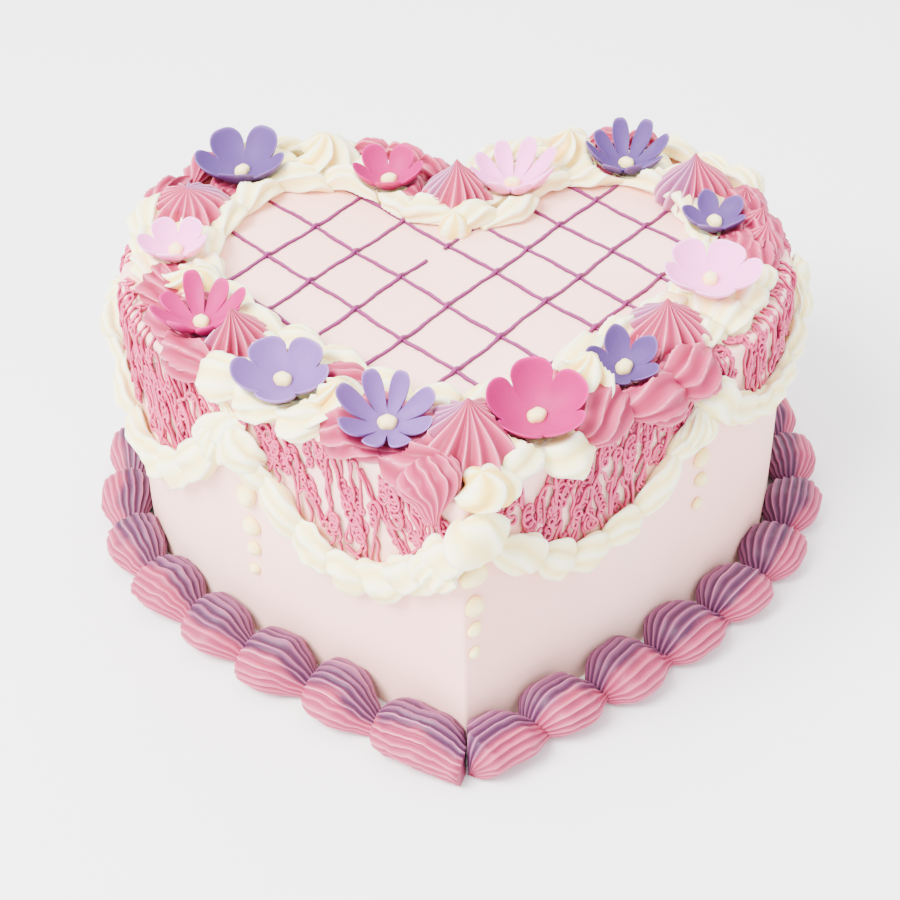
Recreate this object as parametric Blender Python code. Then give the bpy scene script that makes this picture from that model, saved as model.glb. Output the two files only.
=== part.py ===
"""Heart shaped cake with piped icing borders, swirls and sugar flowers.

Metres, with +Z up. The cake stands on z = 0, and the point of the heart faces -Y.
"""

import math

import bmesh
import bpy
import numpy as np
from mathutils import Matrix

# The cake
CAKE_HEIGHT = 0.1035
CAKE_HALF_WIDTH = 0.120
CAKE_HALF_DEPTH = 0.1115
WIDEST_Y = 0.0325
LOBE_X = 0.060
CLEFT_Y = 0.0795
POINT_ANGLE = math.radians(41)
CLEFT_ANGLE = math.radians(62)
EDGE_ROUND = 0.0025
OUTLINE_SIDES = 64

# The outline is drawn about its own middle, and this is the middle of the whole cake in Y
CENTRE_Y = 0.0013

# Room left between pieces that touch
GAP = 0.0003
KEEPOUT = 0.0007

# The lattice piped on the top: each family is a slope and where its lines meet x = 0
LATTICE = (
    (-1.14, (-0.0777, -0.044, -0.0065, 0.034, 0.063, 0.095, 0.1287)),
    (1.27, (0.118, 0.0795, 0.0405, 0.0005, -0.041, -0.078)),
)
LATTICE_WIDTH = 0.0020
LATTICE_HEIGHT = 0.0012
LATTICE_WAVE = 0.0007
LATTICE_STEP = 0.0204
FIELD_INSET = 0.0387

# The chain of shells round the lattice
INNER_INSET = 0.0325
INNER_SHELLS = 28
INNER_HALF_WIDTH = 0.0055
INNER_HEIGHT = 0.0095

# The chain of shells over the top edge
EDGE_SHELLS = 40
EDGE_REACH = 0.0082
EDGE_DROP = 0.0045
# Where it stays on the top and leaves the edge bare, by the distance from the heart's point on each side
EDGE_BARE = {"right": (0.098, 0.215), "left": (0.137, 0.215)}
EDGE_LIP = 0.06

# The shells round the foot
BASE_SHELLS = 28
BASE_OUT = 0.0104
CLEFT_FILLET = 0.0125
BASE_HALF_WIDTH = 0.0101
BASE_HALF_HEIGHT = 0.0081
BASE_RIDGES = 6
BASE_RIDGE_DEPTH = 0.10
# The last shell is longer, and they are wider along the front, by the share of the way to the cleft
BASE_LAST = 1.3
BASE_WIDTHS = ((0, 1.0), (0.08, 1.10), (0.22, 1.20), (0.38, 1.08), (0.52, 0.88), (0.75, 0.92), (1, 1.0))

# The swags on the wall: how far their ends and middles are below the top, from the point round
SWAGS_A_SIDE = 4
SWAG_ENDS = {
    "right": (0.0075, 0.0085, 0.010, 0.011, 0.011),
    "left": (0.0155, 0.010, 0.011, 0.011, 0.011),
}
SWAG_MIDDLES = {"right": (0.0435, 0.0295, 0.041, 0.041), "left": (0.048, 0.0505, 0.043, 0.043)}
# Where the swags meet, in quarters of the way from the point to the notch
SWAG_MEETINGS = {"right": (0, 1.09, 2, 3, 4), "left": (0, 1, 2, 3, 4)}
SWAG_SHELLS = 8
SWAG_HALF_WIDTH = 0.0062
SWAG_OUT = 0.0068
SWAG_GAP = 0.0005

# The strings inside the swags, and the dots that hang under the swags' meeting points
DOT_SIDES = 5
DOT_SUNK = 0.0010
STRINGS_A_SWAG = 4
STRING_STEPS = 5
STRING_WIDTH = 0.0022
STRING_OUT = 0.0018
STRING_TOP = 0.0080
STRING_SWING = 0.0035
STRING_LEAST = 0.0110
DOTS = ((0.0092, 0), (0.0072, 0.0132), (0.0052, 0.0231), (0.0040, 0.0330))
DOT_TOPS = {-3: 0.031, -2: 0.031, -1: 0.0385, 0: 0.0300, 1: 0.0226, 2: 0.030, 3: 0.031}
DOT_SHIFTS = {-1: 0.0030, 0: 0.0035, 1: 0.0100}

# Swirls in the ring on the top: name, x, y, base radius, height
KISSES = (
    ("kiss_point", 0.0020, -0.0855, 0.0182, 0.0195),
    ("kiss_right", 0.0690, -0.0290, 0.0148, 0.0175),
    ("kiss_right_back", 0.0895, 0.0650, 0.0135, 0.0195),
    ("kiss_cleft", 0.0015, 0.0655, 0.0128, 0.0190),
    ("kiss_left_back", -0.0975, 0.0585, 0.0160, 0.0135),
    ("kiss_left", -0.0745, -0.0290, 0.0120, 0.0180),
)
CREAMS = (
    ("cream_front_right", 0.0395, -0.0610, 0.0115, 0.0210),
    ("cream_right", 0.0900, 0.0000, 0.0150, 0.0110),
    ("cream_back_right", 0.0445, 0.0920, 0.0130, 0.0185),
    ("cream_back_left", -0.0500, 0.0930, 0.0150, 0.0170),
    ("cream_left", -0.0925, 0.0070, 0.0135, 0.0130),
    ("cream_front_left", -0.0400, -0.0650, 0.0110, 0.0150),
)
CORNER_ROSETTE = ("cream_point", 0.0075, -0.1060, 0.0100, 0.0075)

# Sugar flowers: name, colour, petals, x, y, height over the top, radius, cup, tilt and turn in degrees
FLOWERS = (
    ("flower_a", "violet", 5, -0.0810, 0.0885, 0.0045, 0.0170, 0.0085, 11, 265),
    ("flower_b", "hot_pink", 5, -0.0245, 0.0775, 0.0055, 0.0130, 0.0075, 11, 270),
    ("flower_c", "pale_pink", 8, 0.0222, 0.0745, 0.0045, 0.0160, 0.0080, 5, 105),
    ("flower_d", "violet", 8, 0.0665, 0.0890, 0.0040, 0.0154, 0.0080, 9, 98),
    ("flower_e", "violet", 5, 0.0940, 0.0410, 0.0055, 0.0120, 0.0060, 8, 105),
    ("flower_f", "pale_pink", 5, 0.0860, -0.0060, 0.0105, 0.0164, 0.0060, 10, 271),
    ("flower_g", "violet", 5, 0.0530, -0.0500, 0.0055, 0.0122, 0.0065, 20, 105),
    ("flower_h", "hot_pink", 5, 0.0237, -0.0745, 0.0050, 0.0158, 0.0085, 21, 97),
    ("flower_i", "lilac", 8, -0.0227, -0.0765, 0.0050, 0.0155, 0.0080, 24, 112),
    ("flower_j", "lilac", 5, -0.0565, -0.0530, 0.0055, 0.0158, 0.0060, 13, 262),
    ("flower_k", "hot_pink", 8, -0.0860, -0.0185, 0.0055, 0.0160, 0.0080, 2, 105),
    ("flower_l", "pale_pink", 5, -0.0990, 0.0245, 0.0080, 0.0122, 0.0065, 10, 265),
)
# The rim of a petal: how far across it, and the share of the radius there
PETAL_RIMS = {
    5: ((0, 0.60), (0.18, 0.95), (0.50, 1.0), (0.82, 0.95)),
    8: ((0, 0.46), (0.30, 1.0), (0.70, 1.0)),
}
PETAL_THICKNESS = 0.0016
FLOWER_DOT = 0.0033

PALE_PINK = (0.86, 0.72, 0.73)
PINK = (0.75, 0.33, 0.42)
CREAM = (0.95, 0.90, 0.76)
PURPLE = (0.45, 0.25, 0.40)
SUGAR = {
    "violet": (0.28, 0.19, 0.47),
    "hot_pink": (0.86, 0.09, 0.35),
    "pale_pink": (0.86, 0.57, 0.71),
    "lilac": (0.42, 0.33, 0.62),
}


def bezier(p0, p1, p2, p3, count):
    """Points of a cubic curve, without its last one."""
    t = np.linspace(0, 1, count, endpoint=False)[:, None]
    corners = [np.array(p) for p in (p0, p1, p2, p3)]
    weights = ((1 - t) ** 3, 3 * (1 - t) ** 2 * t, 3 * (1 - t) * t**2, t**3)
    return sum(weight * corner for weight, corner in zip(weights, corners))


class Path:
    """A closed anticlockwise curve in plan, read by the distance along it."""

    def __init__(self, points, count=760):
        points = np.vstack([points, points[:1]])
        along = self.distances(points)
        even = np.linspace(0, along[-1], count + 1)
        self.points = np.column_stack([np.interp(even, along, points[:, k]) for k in (0, 1)])
        self.along = self.distances(self.points)
        self.length = self.along[-1]

    @staticmethod
    def distances(points):
        steps = np.linalg.norm(np.diff(points, axis=0), axis=1)
        return np.concatenate([[0], np.cumsum(steps)])

    def at(self, s):
        return np.array([np.interp(s % self.length, self.along, self.points[:, k]) for k in (0, 1)])

    def outward(self, s, reach=0.003):
        tangent = self.at(s + reach) - self.at(s - reach)
        tangent /= np.linalg.norm(tangent)
        return np.array([tangent[1], -tangent[0]])

    def place(self, s, out, z):
        x, y = self.at(s) + out * self.outward(s)
        return np.array([x, y, z])

    def outside(self, point):
        """How far a plan point is outside the curve, and the way out there."""
        nearest = int(np.argmin(np.hypot(*(self.points - point[:2]).T)))
        way = self.outward(self.along[nearest], 0.001)
        return float(np.dot(point[:2] - self.points[nearest], way)), way

    def depth(self, point):
        """How far a plan point inside the curve is from it."""
        nearest = np.hypot(*(self.points - point[:2]).T).min()
        return nearest if self.outside(point)[0] < 0 else -nearest

    def pushed_out(self, point, least):
        """The point, moved outwards where it is nearer the curve than least."""
        distance, way = self.outside(point)
        if distance >= least:
            return point
        return point + np.append((least - distance) * way, 0)

    def offset(self, out):
        """The curve that far outside this one, or inside where out is negative."""
        corner = self.at(0) + (0, out / self.outward(0.002, 0.001)[1])
        kept = [corner] if out > 0 else []
        for s in np.arange(0.0008, self.length - 0.0008, 0.00025):
            point = self.at(s) + out * self.outward(s, 0.0006)
            if np.hypot(*(self.points - point).T).min() > abs(out) * 0.985:
                kept.append(point)
        return Path(np.array(kept))


def heart():
    """The cake's outline, from its point up the right side, with round lobes and a cleft."""
    widest = (CAKE_HALF_WIDTH, WIDEST_Y)
    lobe = (LOBE_X, CAKE_HALF_DEPTH)
    point = (0, -CAKE_HALF_DEPTH)
    cleft = (0, CLEFT_Y)
    leave = 0.070
    arrive = (0.028 * math.cos(CLEFT_ANGLE), CLEFT_Y + 0.028 * math.sin(CLEFT_ANGLE))
    side = bezier(
        point,
        (leave * math.cos(POINT_ANGLE), -CAKE_HALF_DEPTH + leave * math.sin(POINT_ANGLE)),
        (CAKE_HALF_WIDTH, WIDEST_Y - 0.066),
        widest,
        60,
    )
    outer = bezier(widest, (CAKE_HALF_WIDTH, WIDEST_Y + 0.046), (LOBE_X + 0.034, lobe[1]), lobe, 60)
    inner = bezier(lobe, (LOBE_X - 0.030, lobe[1]), arrive, cleft, 40)
    right = np.vstack([side, outer, inner, [cleft]])
    left = right[-2:0:-1] * (-1, 1)
    return Path(np.vstack([right, left]))


OUTLINE = heart()
HALF_ROUND = OUTLINE.length / 2


def own_half(point, side):
    """The point, kept a little to its own side of x = 0."""
    return np.array([side * max(side * point[0], GAP / 2), point[1], point[2]])


def own_side(point, s):
    """The point, kept on its own side of x = 0 near the heart's point and its cleft."""
    side = 1 if s > 0 else -1
    from_cleft = HALF_ROUND - abs(s)
    least = 0.05 * min(abs(s), from_cleft) + (GAP / 2 if from_cleft < 0.03 else 0)
    if min(abs(s), from_cleft) > 0.03 or side * point[0] >= least:
        return point
    return np.array([side * least, point[1], point[2]])


def make_material(name, colour, roughness=0.5):
    material = bpy.data.materials.new(name)
    material.use_nodes = True
    shader = material.node_tree.nodes["Principled BSDF"]
    shader.inputs["Base Color"].default_value = (*colour, 1)
    shader.inputs["Roughness"].default_value = roughness
    shader.inputs["Metallic"].default_value = 0
    return material


def add_object(name, mesh, material):
    """Turns a bmesh into an object about the cake's middle, with its faces pointing out."""
    bmesh.ops.recalc_face_normals(mesh, faces=mesh.faces)
    bmesh.ops.translate(mesh, vec=(0, -CENTRE_Y, 0), verts=mesh.verts)
    data = bpy.data.meshes.new(name)
    mesh.to_mesh(data)
    mesh.free()
    data.shade_smooth()
    data.set_sharp_from_angle(angle=math.radians(40))
    data.materials.append(material)
    obj = bpy.data.objects.new(name, data)
    bpy.context.scene.collection.objects.link(obj)
    return obj


def add_body(mesh, rings, closed=False):
    """One closed body through rings of points. A ring of one point ends it, and others are capped."""
    rows = [[mesh.verts.new(point) for point in ring] for ring in rings]
    pairs = list(zip(rows, rows[1:]))
    if closed:
        pairs.append((rows[-1], rows[0]))
    for low, high in pairs:
        count = max(len(low), len(high))
        for i in range(count):
            j = (i + 1) % count
            corners = [low[i % len(low)], low[j % len(low)], high[j % len(high)], high[i % len(high)]]
            mesh.faces.new(list(dict.fromkeys(corners)))
    if not closed:
        for row in (rows[0], rows[-1]):
            if len(row) > 2:
                mesh.faces.new(row)


def apply_modifiers(obj):
    """Replaces the object's mesh by what its modifiers make, keeping the largest body."""
    graph = bpy.context.evaluated_depsgraph_get()
    data = bpy.data.meshes.new_from_object(obj.evaluated_get(graph))
    obj.modifiers.clear()
    obj.data = data
    mesh = bmesh.new()
    mesh.from_mesh(data)
    unseen = set(mesh.verts)
    bodies = []
    while unseen:
        body = {unseen.pop()}
        edge = list(body)
        while edge:
            vert = edge.pop()
            near = {link.other_vert(vert) for link in vert.link_edges} & unseen
            unseen -= near
            body |= near
            edge += near
        bodies.append(body)
    bodies.sort(key=len)
    for body in bodies[:-1]:
        bmesh.ops.delete(mesh, geom=list(body), context="VERTS")
    mesh.to_mesh(data)
    mesh.free()


def keepout(obj):
    """A hidden hull a little larger than the object, which cuts room for it in its neighbours."""
    mesh = bmesh.new()
    mesh.from_mesh(obj.data)
    hull = bmesh.ops.convex_hull(mesh, input=mesh.verts)
    spare = {item for key in ("geom_interior", "geom_unused") for item in hull[key]}
    bmesh.ops.delete(mesh, geom=[v for v in spare if isinstance(v, bmesh.types.BMVert)], context="VERTS")
    shell = {face for face in hull["geom"] if isinstance(face, bmesh.types.BMFace)}
    bmesh.ops.delete(mesh, geom=[f for f in mesh.faces if f not in shell], context="FACES_ONLY")
    bmesh.ops.recalc_face_normals(mesh, faces=mesh.faces)
    for vert in mesh.verts:
        vert.co += vert.normal * KEEPOUT
    data = bpy.data.meshes.new(obj.name + "_room")
    mesh.to_mesh(data)
    mesh.free()
    cutter = bpy.data.objects.new(obj.name + "_room", data)
    cutter.hide_render = True
    cutter.display_type = "WIRE"
    bpy.context.scene.collection.objects.link(cutter)
    return cutter


def box_of(obj):
    points = np.array([vert.co for vert in obj.data.vertices])
    return points.min(axis=0), points.max(axis=0)


def make_room(obj, cutters):
    """Cuts every cutter whose box meets the object's out of it."""
    low, high = box_of(obj)
    met = [c for c in cutters if (box_of(c)[0] < high).all() and (box_of(c)[1] > low).all()]
    for cutter in met:
        modifier = obj.modifiers.new("room", "BOOLEAN")
        modifier.operation = "DIFFERENCE"
        modifier.object = cutter
    if met:
        apply_modifiers(obj)


def cake_body(mesh):
    """The heart's prism with a rounded top edge."""
    levels = ((0, 0), (0, CAKE_HEIGHT - EDGE_ROUND), (-EDGE_ROUND, CAKE_HEIGHT))
    steps = np.arange(OUTLINE_SIDES) * OUTLINE.length / OUTLINE_SIDES
    add_body(mesh, [[OUTLINE.place(s, out, z) for s in steps] for out, z in levels])


def strip(mesh, points, ups, width, height):
    """A low rib along the points, with a triangular section sunk a little in its ground."""
    sunk = 0.0011
    rings = []
    for k, (point, up) in enumerate(zip(points, ups)):
        ahead = points[min(k + 1, len(points) - 1)] - points[max(k - 1, 0)]
        across = np.cross(ahead, up)
        across *= width / 2 / np.linalg.norm(across)
        rings.append((point - across - sunk * up, point + across - sunk * up, point + height * up))
    add_body(mesh, rings)


def lattice_lines():
    """The points of each line of the lattice, inside the field that the inner shells leave."""
    up = np.array([0, 0, 1])
    for family, (slope, meets) in enumerate(LATTICE):
        along = np.array([1, slope]) / math.hypot(1, slope)
        across = np.array([-along[1], along[0]])
        for number, meet in enumerate(meets):
            phase = 2.1 * number + 1.3 * family

            def plan(t):
                wave = LATTICE_WAVE * math.sin(t * 160 + phase)
                return np.array([0, meet]) + t * along + wave * across

            inside = [t for t in np.arange(-0.14, 0.14, 0.0005) if OUTLINE.depth(plan(t)) > FIELD_INSET]
            for run in np.split(inside, np.flatnonzero(np.diff(inside) > 0.001) + 1):
                if len(run) < 10:
                    continue
                count = math.ceil((run[-1] - run[0]) / LATTICE_STEP) + 1
                points = [np.array([*plan(t), CAKE_HEIGHT]) for t in np.linspace(run[0], run[-1], count)]
                yield points, [up] * count


def swag_z(side, t):
    """The height of the swags' middle line, t quarters of the way round from the point on that side."""
    t = float(np.interp(t, SWAG_MEETINGS[side], range(SWAGS_A_SIDE + 1)))
    swag = min(int(t), SWAGS_A_SIDE - 1)
    first, last = SWAG_ENDS[side][swag : swag + 2]
    sag = SWAG_MIDDLES[side][swag] - (first + last) / 2
    below = first + (last - first) * (t - swag) + sag * abs(math.sin(math.pi * t))
    return CAKE_HEIGHT - below


def swag_slope(side, t):
    """How fast the swags' middle line rises along the wall there."""
    return (swag_z(side, t + 0.01) - swag_z(side, t - 0.01)) / (0.02 * HALF_ROUND / SWAGS_A_SIDE)


def string_lines():
    """The points of each zigzag string between a swag and the top edge."""
    pitch = HALF_ROUND / SWAGS_A_SIDE
    for side, way in (("right", 1), ("left", -1)):
        for swag in range(SWAGS_A_SIDE):
            for number in range(STRINGS_A_SWAG):
                t = swag + 0.17 + 0.66 * number / (STRINGS_A_SWAG - 1)
                slope = swag_slope(side, t)
                border = (SWAG_HALF_WIDTH + STRING_WIDTH) * math.hypot(1, slope)
                low = swag_z(side, t) + border + STRING_SWING * abs(slope)
                top = CAKE_HEIGHT - STRING_TOP
                if low > top - STRING_LEAST:
                    continue
                heights = np.linspace(top, low, STRING_STEPS)
                points, ups = [], []
                for k, z in enumerate(heights):
                    s = way * t * pitch + STRING_SWING * (-1) ** k
                    points.append(OUTLINE.place(s, 0, z))
                    ups.append(np.append(OUTLINE.outward(s), 0))
                yield points, ups


def dot(mesh, s, z, width):
    """A drop of cream on the wall, wider than it stands out."""
    outward = OUTLINE.outward(s)
    along = np.array([-outward[1], outward[0], 0])
    up = np.array([0, 0, 1])
    rings = []
    for out, size in ((-DOT_SUNK, 1.0), (width * 0.25, 0.9)):
        middle = OUTLINE.place(s, out, z)
        angles = [2 * math.pi * k / DOT_SIDES for k in range(DOT_SIDES)]
        reach = size * width / 2
        rings.append([middle + reach * (math.cos(a) * along + math.sin(a) * up) for a in angles])
    rings.append([OUTLINE.place(s, width * 0.5, z)])
    add_body(mesh, rings)


def make_cake(material):
    """The cake, joined with the lattice, the strings and the dots that are piped on it."""
    collection = bpy.data.collections.new("piped_on_cake")
    bpy.context.scene.collection.children.link(collection)

    def piped(fill):
        mesh = bmesh.new()
        fill(mesh)
        obj = add_object("piped", mesh, material)
        bpy.context.scene.collection.objects.unlink(obj)
        collection.objects.link(obj)

    for points, ups in lattice_lines():
        piped(lambda mesh: strip(mesh, points, ups, LATTICE_WIDTH, LATTICE_HEIGHT))
    for points, ups in string_lines():
        piped(lambda mesh: strip(mesh, points, ups, STRING_WIDTH, STRING_OUT))
    pitch = HALF_ROUND / SWAGS_A_SIDE
    for junction in range(-SWAGS_A_SIDE + 1, SWAGS_A_SIDE):
        s = junction * pitch + DOT_SHIFTS.get(junction, 0)
        for width, below in DOTS:
            z = CAKE_HEIGHT - DOT_TOPS[junction] - below
            piped(lambda mesh: dot(mesh, s, z, width))
    mesh = bmesh.new()
    cake_body(mesh)
    cake = add_object("cake", mesh, material)
    union = cake.modifiers.new("piping", "BOOLEAN")
    union.operation = "UNION"
    union.operand_type = "COLLECTION"
    union.collection = collection
    apply_modifiers(cake)
    for obj in list(collection.objects):
        bpy.data.objects.remove(obj)
    bpy.data.collections.remove(collection)
    return cake


def make_base_shells(material):
    """Fat ridged shells round the foot, each with its tail towards the next one's head."""
    path = OUTLINE.offset(BASE_OUT + CLEFT_FILLET).offset(-CLEFT_FILLET)
    pitch = path.length / (BASE_SHELLS - 1 + BASE_LAST)
    profile = ((0.09, 0.64), (0.32, 1.0), (0.70, 0.88), (1.0, 0.40))
    ways, widths = np.array(BASE_WIDTHS).T
    for number in range(BASE_SHELLS):
        start = number * pitch + GAP / 2
        length = pitch * (BASE_LAST if number == BASE_SHELLS - 1 else 1) - GAP
        side = 1 if start + length / 2 < path.length / 2 else -1
        rings = [[own_half(path.place(start, 0, BASE_HALF_HEIGHT * 0.55), side)]]
        for u, size in profile:
            ring = []
            s = start + u * length
            width = np.interp(min(s, path.length - s) * 2 / path.length, ways, widths)
            for k in range(2 * BASE_RIDGES):
                angle = math.pi * k / BASE_RIDGES + 0.5 * u
                reach = size * (1 + BASE_RIDGE_DEPTH * (-1) ** k)
                out = BASE_HALF_WIDTH * (width - 1 + width * reach * math.cos(angle))
                z = BASE_HALF_HEIGHT * (0.92 * size + reach * math.sin(angle))
                point = path.place(s, out, max(z, 0))
                ring.append(own_half(OUTLINE.pushed_out(point, GAP + 0.0002), side))
            rings.append(ring)
        mesh = bmesh.new()
        add_body(mesh, rings)
        add_object(f"base_shell_{number + 1:02d}", mesh, material)


def make_swirl(name, x, y, radius, height, ridges, depth, twist, profile, material, ground=None):
    """A piped swirl: ridges that run up to a point, and turn by the twist on the way."""
    ground = CAKE_HEIGHT + GAP if ground is None else ground
    rings = []
    for t, size in profile:
        ring = []
        for k in range(2 * ridges):
            angle = math.pi * k / ridges + twist * t
            reach = radius * size * (1 + depth * (-1) ** k)
            ring.append((x + reach * math.cos(angle), y + reach * math.sin(angle), ground + height * t))
        rings.append(ring)
    rings.append([(x, y, ground + height)])
    mesh = bmesh.new()
    add_body(mesh, rings)
    return add_object(name, mesh, material)


def make_flower(name, petals, x, y, z, radius, cup, tilt, turn, material):
    """A cupped sugar flower in one piece, with a dot of cream in its middle."""
    angles, reaches = [], []
    for petal in range(petals):
        for across, share in PETAL_RIMS[petals]:
            angles.append(2 * math.pi / petals * (petal + across - 0.5) + math.radians(turn))
            reaches.append(radius * share)

    def ring(share, lift, least=0):
        points = []
        for angle, reach in zip(angles, reaches):
            r = max(share * reach, least)
            height = cup * (r / radius) ** 2 + lift
            points.append((r * math.cos(angle), r * math.sin(angle), height))
        return points

    dot_ring = [(FLOWER_DOT * math.cos(a), FLOWER_DOT * math.sin(a), 0.0003) for a in angles]
    rings = [
        [(0, 0, FLOWER_DOT)],
        dot_ring,
        ring(1, 0),
        ring(0.97, -PETAL_THICKNESS),
        ring(0.5, -PETAL_THICKNESS),
        [(0, 0, -PETAL_THICKNESS)],
    ]
    mesh = bmesh.new()
    add_body(mesh, rings)
    middle = Matrix.Translation((x, y, CAKE_HEIGHT + z))
    place = middle @ Matrix.Rotation(math.radians(tilt), 4, "X")
    bmesh.ops.transform(mesh, matrix=place, verts=mesh.verts)
    return add_object(name, mesh, material)


def make_inner_border(material):
    """A flat-footed chain of soft shells round the lattice."""
    path = OUTLINE.offset(-INNER_INSET)
    section = ((-1, 0), (-0.80, 0.62), (0, 1), (0.80, 0.62), (1, 0))
    rings = []
    for number in range(INNER_SHELLS):
        for u, size in ((0, 0.62), (0.4, 1.0)):
            s = (number + u) * path.length / INNER_SHELLS
            rings.append(
                [
                    path.place(s, a * size * INNER_HALF_WIDTH, CAKE_HEIGHT + GAP + b * size * INNER_HEIGHT)
                    for a, b in section
                ]
            )
    mesh = bmesh.new()
    add_body(mesh, rings, closed=True)
    return add_object("inner_border", mesh, material)


def edge_hang(s):
    """The share of its full reach that the edge border hangs over the edge by."""
    start, end = EDGE_BARE["right" if s > 0 else "left"]
    return EDGE_LIP if start < abs(s) < end else 1


def make_edge_border(material):
    """A chain of shells along the cake's top edge, draped over it for most of the way."""
    corner = GAP + 0.0001
    section = ((0, -1), (0.75, -0.6), (0.75, 0.6), (0, 1), (-0.8, 0.65), (-1, 0))
    rings = []
    for number in range(EDGE_SHELLS):
        for u, size in ((0, 0.60), (0.4, 1.0)):
            s = (number + u) * OUTLINE.length / EDGE_SHELLS - HALF_ROUND
            ring = [OUTLINE.place(s, corner, CAKE_HEIGHT + corner)]
            for a, b in section:
                reach = EDGE_REACH * (edge_hang(s) if a > 0 else 1)
                drop = EDGE_DROP * edge_hang(s) if b < 0 else EDGE_REACH
                out = corner + a * size * reach
                ring.append(OUTLINE.place(s, out, CAKE_HEIGHT + corner + b * size * drop))
            rings.append([own_side(point, s) for point in ring])
    rings.append([point * (-1, 1, 1) for point in rings[0]])
    mesh = bmesh.new()
    add_body(mesh, rings)
    return add_object("edge_border", mesh, material)


def make_swag_border(side, way, material):
    """A chain of shells that hangs in swags along one side of the wall."""
    pitch = HALF_ROUND / SWAGS_A_SIDE
    section = ((-1, 0), (-0.7, 0.75), (0, 1), (0.7, 0.75), (1, 0), (0, 0))
    steps = []
    for number in range(SWAGS_A_SIDE * SWAG_SHELLS):
        for u, size in ((0, 0.66), (0.4, 1.0)):
            steps.append(((number + u) / SWAG_SHELLS, size))
    steps.append((SWAGS_A_SIDE, 0.66))
    ends = 0.035
    rings = []
    for swags, size in steps:
        t = np.interp(swags, range(SWAGS_A_SIDE + 1), SWAG_MEETINGS[side])
        t = min(max(float(t), ends), SWAGS_A_SIDE - 1.4 * ends)
        lean = math.atan(swag_slope(side, t))
        ring = []
        for a, b in section:
            across = a * size * SWAG_HALF_WIDTH
            along = t * pitch - across * math.sin(lean)
            s = way * min(max(along, GAP), HALF_ROUND - GAP)
            z = swag_z(side, t) + across * math.cos(lean)
            ring.append(own_side(OUTLINE.place(s, SWAG_GAP + b * size * SWAG_OUT, z), s))
        rings.append(ring)
    mesh = bmesh.new()
    add_body(mesh, rings)
    return add_object(f"swag_border_{side}", mesh, material)


def main():
    for obj in list(bpy.data.objects):
        bpy.data.objects.remove(obj, do_unlink=True)
    pale = make_material("pale_pink_icing", PALE_PINK)
    pink = make_material("pink_piping", PINK)
    cream = make_material("cream_piping", CREAM)
    purple = make_material("two_tone_piping", PURPLE)

    make_cake(pale)
    make_base_shells(purple)

    sugar = {name: make_material("sugar_" + name, colour, 0.6) for name, colour in SUGAR.items()}
    flowers = [make_flower(name, *sizes, sugar[colour]) for name, colour, *sizes in FLOWERS]
    flower_rooms = [keepout(flower) for flower in flowers]

    pointed = ((0, 0.86), (0.24, 1.0), (0.56, 0.80), (0.82, 0.32))
    soft = ((0, 0.92), (0.22, 1.0), (0.60, 0.76), (0.86, 0.36))
    swirls = [make_swirl(*kiss, 9, 0.09, 0.15, pointed, pink) for kiss in KISSES]
    swirls += [make_swirl(*cream_swirl, 6, 0.10, 1.2, soft, cream) for cream_swirl in CREAMS]
    for swirl in swirls:
        make_room(swirl, flower_rooms)
    swirl_rooms = [keepout(swirl) for swirl in swirls]

    edge_top = CAKE_HEIGHT + GAP
    corner = make_swirl(*CORNER_ROSETTE, 6, 0.10, 1.0, soft, cream, ground=edge_top)
    rooms = flower_rooms + swirl_rooms
    make_room(corner, rooms)
    make_room(make_inner_border(cream), rooms)
    make_room(make_edge_border(cream), rooms + [keepout(corner)])
    for side, way in (("right", 1), ("left", -1)):
        make_swag_border(side, way, cream)


main()
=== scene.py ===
"""Looks of the heart shaped cake: piped icing, sugar flowers, studio floor, lights and camera.

Metres, with +Z up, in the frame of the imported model.
"""

import math

import bpy
import numpy as np
from mathutils import Matrix, Vector


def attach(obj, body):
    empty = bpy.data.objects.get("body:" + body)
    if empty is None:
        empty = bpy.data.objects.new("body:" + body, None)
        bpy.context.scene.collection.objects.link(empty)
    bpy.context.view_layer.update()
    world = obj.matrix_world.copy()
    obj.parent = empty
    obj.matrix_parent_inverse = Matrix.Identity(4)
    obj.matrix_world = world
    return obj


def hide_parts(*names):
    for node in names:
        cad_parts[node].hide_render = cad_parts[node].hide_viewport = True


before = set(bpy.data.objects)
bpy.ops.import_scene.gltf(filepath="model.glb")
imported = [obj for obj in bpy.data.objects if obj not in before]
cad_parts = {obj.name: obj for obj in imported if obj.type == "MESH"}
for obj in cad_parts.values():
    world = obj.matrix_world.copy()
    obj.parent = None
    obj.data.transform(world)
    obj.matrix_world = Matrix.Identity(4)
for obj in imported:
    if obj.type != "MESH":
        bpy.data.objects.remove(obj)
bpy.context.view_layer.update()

TAU = 2 * math.pi

# The cake, as in the part
CAKE_HEIGHT = 0.1035
CAKE_HALF_WIDTH = 0.120
CAKE_HALF_DEPTH = 0.1115
WIDEST_Y = 0.0325
LOBE_X = 0.060
CLEFT_Y = 0.0795
POINT_ANGLE = math.radians(41)
CLEFT_ANGLE = math.radians(62)
# How far the outline's curves are drawn out at the point, the cleft, the widest place and the lobe
POINT_PULL = 0.070
CLEFT_PULL = 0.028
WIDEST_PULLS = (0.066, 0.046)
LOBE_PULLS = (0.034, 0.030)
EDGE_ROUND = 0.0025
CENTRE_Y = 0.0013

# The lattice on the top: each family is a slope and where its lines meet x = 0
LATTICE = (
    (-1.14, (-0.0777, -0.044, -0.0065, 0.034, 0.063, 0.095, 0.1287)),
    (1.27, (0.118, 0.0795, 0.0405, 0.0005, -0.041, -0.078)),
)
LATTICE_RADIUS = 0.00072
LATTICE_WAVE = 0.0004
FIELD_INSET = 0.0275
# The one broken line, by its family and number, and the two y between which it is missing
LATTICE_BROKEN = (1, 2)
LATTICE_GAP = (0.0275, 0.0345)

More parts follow.
